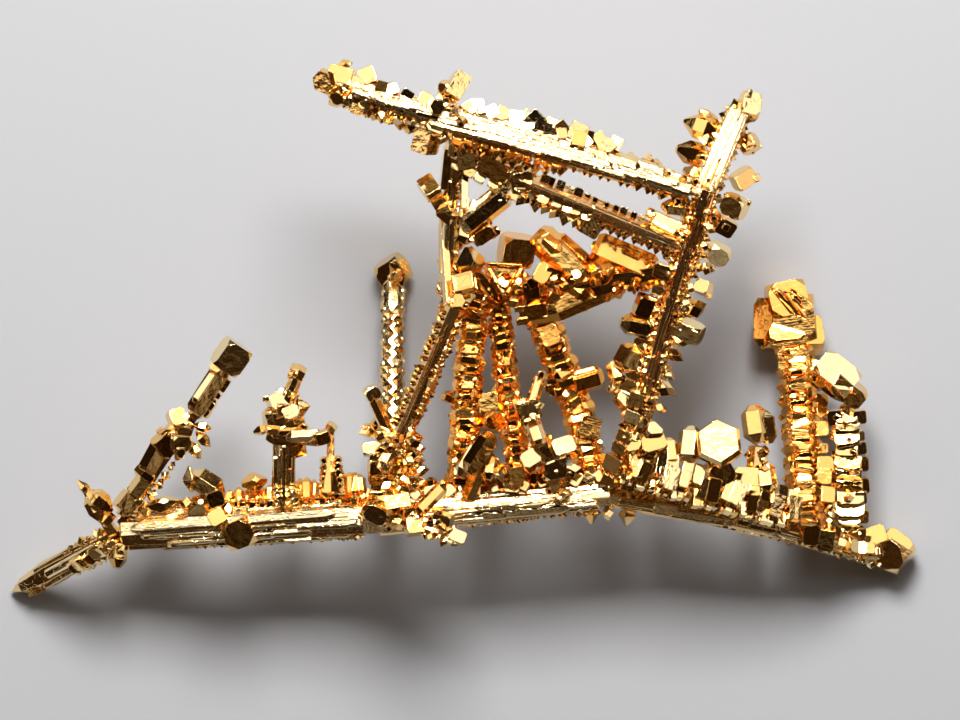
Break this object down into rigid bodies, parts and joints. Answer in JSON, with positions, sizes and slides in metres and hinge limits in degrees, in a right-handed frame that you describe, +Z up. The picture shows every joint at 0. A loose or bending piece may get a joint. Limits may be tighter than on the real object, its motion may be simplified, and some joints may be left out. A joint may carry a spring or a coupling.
{
  "type": "native gold specimen",
  "caption": "arched bar of crystallised gold with rods and a frame of beams growing from it, all studded with small flat-faced crystals",
  "frame": {"origin": "middle of the specimen's outline, on the surface that it lies on", "axes": "+X along the base bar to its right end, +Y from the base bar to the rods that grow from it, +Z up from the surface"},
  "size_m": [0.0218, 0.0127, 0.0065],
  "materials": {
    "pale_gold": "polished",
    "deep_gold": "polished"
  },
  "bodies": {
    "root": {"base_bar_left": "pale_gold", "base_bar_middle": "pale_gold", "base_bar_right": "deep_gold", "left_blade": "deep_gold", "left_rod": "deep_gold", "squat_rod": "deep_gold", "tall_rod": "deep_gold", "dark_strut": "deep_gold", "left_column": "deep_gold", "upper_beam": "pale_gold", "lower_beam": "deep_gold", "right_column_top": "pale_gold", "right_column": "deep_gold", "wing": "deep_gold", "ribbed_rod_left": "deep_gold", "ribbed_rod_middle": "deep_gold", "ribbed_rod_right": "deep_gold", "bright_stem": "deep_gold", "front_spray": "deep_gold", "crest": "pale_gold", "knob_rod": "deep_gold", "outer_rod": "deep_gold"}
  },
  "joints": []
}
